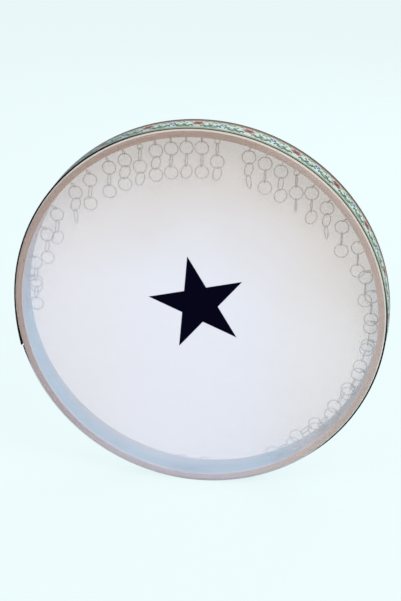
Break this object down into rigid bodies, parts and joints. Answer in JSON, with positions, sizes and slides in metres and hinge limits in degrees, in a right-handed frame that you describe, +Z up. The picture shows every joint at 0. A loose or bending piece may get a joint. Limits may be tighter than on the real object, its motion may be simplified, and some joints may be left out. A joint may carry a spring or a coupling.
{
  "type": "ringed frame drum",
  "caption": "Shallow round wooden frame drum with a translucent head, a black star, a printed trim strip and chains of steel rings hung inside that swing and jingle.",
  "frame": {"origin": "centre of the hoop, half way through its depth", "axes": "+Z up with the drum standing on edge as pictured, +X to the right seen from the front, the head faces -Y and the open back faces +Y"},
  "size_m": [0.5254, 0.0487, 0.5254],
  "materials": {
    "wood": "satin",
    "head_film": "translucent satin",
    "star_vinyl": "satin",
    "trim_strip": "printed satin",
    "eye_steel": "bright",
    "ring_steel": "bright plated"
  },
  "bodies": {
    "drum": {"frame_hoop": "wood", "drum_head": "head_film", "star": "star_vinyl", "trim_strip_upper": "trim_strip", "trim_strip_lower": "trim_strip", "ring_eyes": "eye_steel"},
    "ring_chain_01": {"ring_chain_01": "ring_steel"},
    "ring_chain_02": {"ring_chain_02": "ring_steel"},
    "ring_chain_03": {"ring_chain_03": "ring_steel"},
    "ring_chain_04": {"ring_chain_04": "ring_steel"},
    "ring_chain_05": {"ring_chain_05": "ring_steel"},
    "ring_chain_06": {"ring_chain_06": "ring_steel"},
    "ring_chain_07": {"ring_chain_07": "ring_steel"},
    "ring_chain_08": {"ring_chain_08": "ring_steel"},
    "ring_chain_09": {"ring_chain_09": "ring_steel"},
    "ring_chain_10": {"ring_chain_10": "ring_steel"},
    "ring_chain_11": {"ring_chain_11": "ring_steel"},
    "ring_chain_12": {"ring_chain_12": "ring_steel"},
    "ring_chain_13": {"ring_chain_13": "ring_steel"},
    "ring_chain_14": {"ring_chain_14": "ring_steel"},
    "ring_chain_15": {"ring_chain_15": "ring_steel"},
    "ring_chain_16": {"ring_chain_16": "ring_steel"},
    "ring_chain_17": {"ring_chain_17": "ring_steel"},
    "ring_chain_18": {"ring_chain_18": "ring_steel"},
    "ring_chain_19": {"ring_chain_19": "ring_steel"},
    "ring_chain_20": {"ring_chain_20": "ring_steel"},
    "ring_chain_21": {"ring_chain_21": "ring_steel"},
    "ring_chain_22": {"ring_chain_22": "ring_steel"},
    "ring_chain_23": {"ring_chain_23": "ring_steel"},
    "ring_chain_24": {"ring_chain_24": "ring_steel"},
    "ring_chain_25": {"ring_chain_25": "ring_steel"},
    "ring_chain_26": {"ring_chain_26": "ring_steel"},
    "ring_chain_27": {"ring_chain_27": "ring_steel"},
    "ring_chain_28": {"ring_chain_28": "ring_steel"},
    "ring_chain_29": {"ring_chain_29": "ring_steel"},
    "ring_chain_30": {"ring_chain_30": "ring_steel"},
    "ring_chain_31": {"ring_chain_31": "ring_steel"},
    "ring_chain_32": {"ring_chain_32": "ring_steel"}
  },
  "joints": [
    {"name": "chain_01_swing", "type": "hinge", "parent": "drum", "child": "ring_chain_01", "pos_m": [-0.22, 0.011, 0.09666], "axis": [1, 0, 0], "range_deg": [0, 75]},
    {"name": "chain_02_swing", "type": "hinge", "parent": "drum", "child": "ring_chain_02", "pos_m": [-0.23195, -0.011, 0.06047], "axis": [0, -1, 0], "range_deg": [0, 70]},
    {"name": "chain_03_swing", "type": "hinge", "parent": "drum", "child": "ring_chain_03", "pos_m": [-0.23846, 0.011, 0.02437], "axis": [0, -1, 0], "range_deg": [0, 70]},
    {"name": "chain_04_swing", "type": "hinge", "parent": "drum", "child": "ring_chain_04", "pos_m": [-0.199, -0.011, 0.13512], "axis": [1, 0, 0], "range_deg": [-4, 75]},
    {"name": "chain_05_swing", "type": "hinge", "parent": "drum", "child": "ring_chain_05", "pos_m": [-0.172, -0.011, 0.16845], "axis": [1, 0, 0], "range_deg": [-4, 75]},
    {"name": "chain_06_swing", "type": "hinge", "parent": "drum", "child": "ring_chain_06", "pos_m": [-0.151, -0.011, 0.18766], "axis": [1, 0, 0], "range_deg": [-4, 75]},
    {"name": "chain_07_swing", "type": "hinge", "parent": "drum", "child": "ring_chain_07", "pos_m": [-0.124, -0.011, 0.20663], "axis": [1, 0, 0], "range_deg": [-4, 75]},
    {"name": "chain_08_swing", "type": "hinge", "parent": "drum", "child": "ring_chain_08", "pos_m": [-0.102, -0.011, 0.21841], "axis": [1, 0, 0], "range_deg": [-4, 75]},
    {"name": "chain_09_swing", "type": "hinge", "parent": "drum", "child": "ring_chain_09", "pos_m": [-0.081, -0.011, 0.22582], "axis": [1, 0, 0], "range_deg": [-4, 75]},
    {"name": "chain_10_swing", "type": "hinge", "parent": "drum", "child": "ring_chain_10", "pos_m": [-0.059, -0.011, 0.23383], "axis": [1, 0, 0], "range_deg": [-4, 75]},
    {"name": "chain_11_swing", "type": "hinge", "parent": "drum", "child": "ring_chain_11", "pos_m": [-0.038, -0.011, 0.23817], "axis": [1, 0, 0], "range_deg": [-4, 75]},
    {"name": "chain_12_swing", "type": "hinge", "parent": "drum", "child": "ring_chain_12", "pos_m": [-0.017, -0.011, 0.2406], "axis": [1, 0, 0], "range_deg": [-4, 75]},
    {"name": "chain_13_swing", "type": "hinge", "parent": "drum", "child": "ring_chain_13", "pos_m": [0.004, -0.011, 0.24117], "axis": [1, 0, 0], "range_deg": [-4, 75]},
    {"name": "chain_14_swing", "type": "hinge", "parent": "drum", "child": "ring_chain_14", "pos_m": [0.025, -0.011, 0.23841], "axis": [1, 0, 0], "range_deg": [-4, 75]},
    {"name": "chain_15_swing", "type": "hinge", "parent": "drum", "child": "ring_chain_15", "pos_m": [0.068, -0.011, 0.23135], "axis": [1, 0, 0], "range_deg": [-4, 75]},
    {"name": "chain_16_swing", "type": "hinge", "parent": "drum", "child": "ring_chain_16", "pos_m": [0.09, -0.011, 0.22366], "axis": [1, 0, 0], "range_deg": [-4, 75]},
    {"name": "chain_17_swing", "type": "hinge", "parent": "drum", "child": "ring_chain_17", "pos_m": [0.1115, -0.011, 0.21369], "axis": [1, 0, 0], "range_deg": [-4, 75]},
    {"name": "chain_18_swing", "type": "hinge", "parent": "drum", "child": "ring_chain_18", "pos_m": [0.1325, -0.011, 0.20045], "axis": [1, 0, 0], "range_deg": [-2, 75]},
    {"name": "chain_19_swing", "type": "hinge", "parent": "drum", "child": "ring_chain_19", "pos_m": [0.1535, -0.011, 0.1856], "axis": [1, 0, 0], "range_deg": [-4, 75]},
    {"name": "chain_20_swing", "type": "hinge", "parent": "drum", "child": "ring_chain_20", "pos_m": [0.1745, -0.011, 0.16584], "axis": [1, 0, 0], "range_deg": [-4, 75]},
    {"name": "chain_21_swing", "type": "hinge", "parent": "drum", "child": "ring_chain_21", "pos_m": [0.1955, -0.011, 0.14019], "axis": [1, 0, 0], "range_deg": [-4, 75]},
    {"name": "chain_22_swing", "type": "hinge", "parent": "drum", "child": "ring_chain_22", "pos_m": [0.2165, 0.011, 0.10438], "axis": [1, 0, 0], "range_deg": [0, 75]},
    {"name": "chain_23_swing", "type": "hinge", "parent": "drum", "child": "ring_chain_23", "pos_m": [0.22966, -0.011, 0.06863], "axis": [0, 1, 0], "range_deg": [0, 70]},
    {"name": "chain_24_swing", "type": "hinge", "parent": "drum", "child": "ring_chain_24", "pos_m": [0.23745, 0.011, 0.03278], "axis": [0, 1, 0], "range_deg": [0, 70]},
    {"name": "chain_25_swing", "type": "hinge", "parent": "drum", "child": "ring_chain_25", "pos_m": [0.23967, -0.011, -0.00384], "axis": [0, 1, 0], "range_deg": [0, 70]},
    {"name": "chain_26_swing", "type": "hinge", "parent": "drum", "child": "ring_chain_26", "pos_m": [0.23628, 0.011, -0.04038], "axis": [0, 1, 0], "range_deg": [0, 70]},
    {"name": "chain_27_swing", "type": "hinge", "parent": "drum", "child": "ring_chain_27", "pos_m": [0.22734, -0.011, -0.07596], "axis": [0, 1, 0], "range_deg": [0, 70]},
    {"name": "chain_28_swing", "type": "hinge", "parent": "drum", "child": "ring_chain_28", "pos_m": [0.21309, 0.011, -0.10977], "axis": [0, 1, 0], "range_deg": [0, 70]},
    {"name": "chain_29_swing", "type": "hinge", "parent": "drum", "child": "ring_chain_29", "pos_m": [0.19384, -0.011, -0.141], "axis": [0, 1, 0], "range_deg": [0, 70]},
    {"name": "chain_30_swing", "type": "hinge", "parent": "drum", "child": "ring_chain_30", "pos_m": [0.17005, 0.011, -0.16893], "axis": [0, 1, 0], "range_deg": [0, 70]},
    {"name": "chain_31_swing", "type": "hinge", "parent": "drum", "child": "ring_chain_31", "pos_m": [0.14228, -0.011, -0.19291], "axis": [0, 1, 0], "range_deg": [0, 70]},
    {"name": "chain_32_swing", "type": "hinge", "parent": "drum", "child": "ring_chain_32", "pos_m": [-0.03257, -0.011, -0.23748], "axis": [0, -1, 0], "range_deg": [0, 70]}
  ]
}
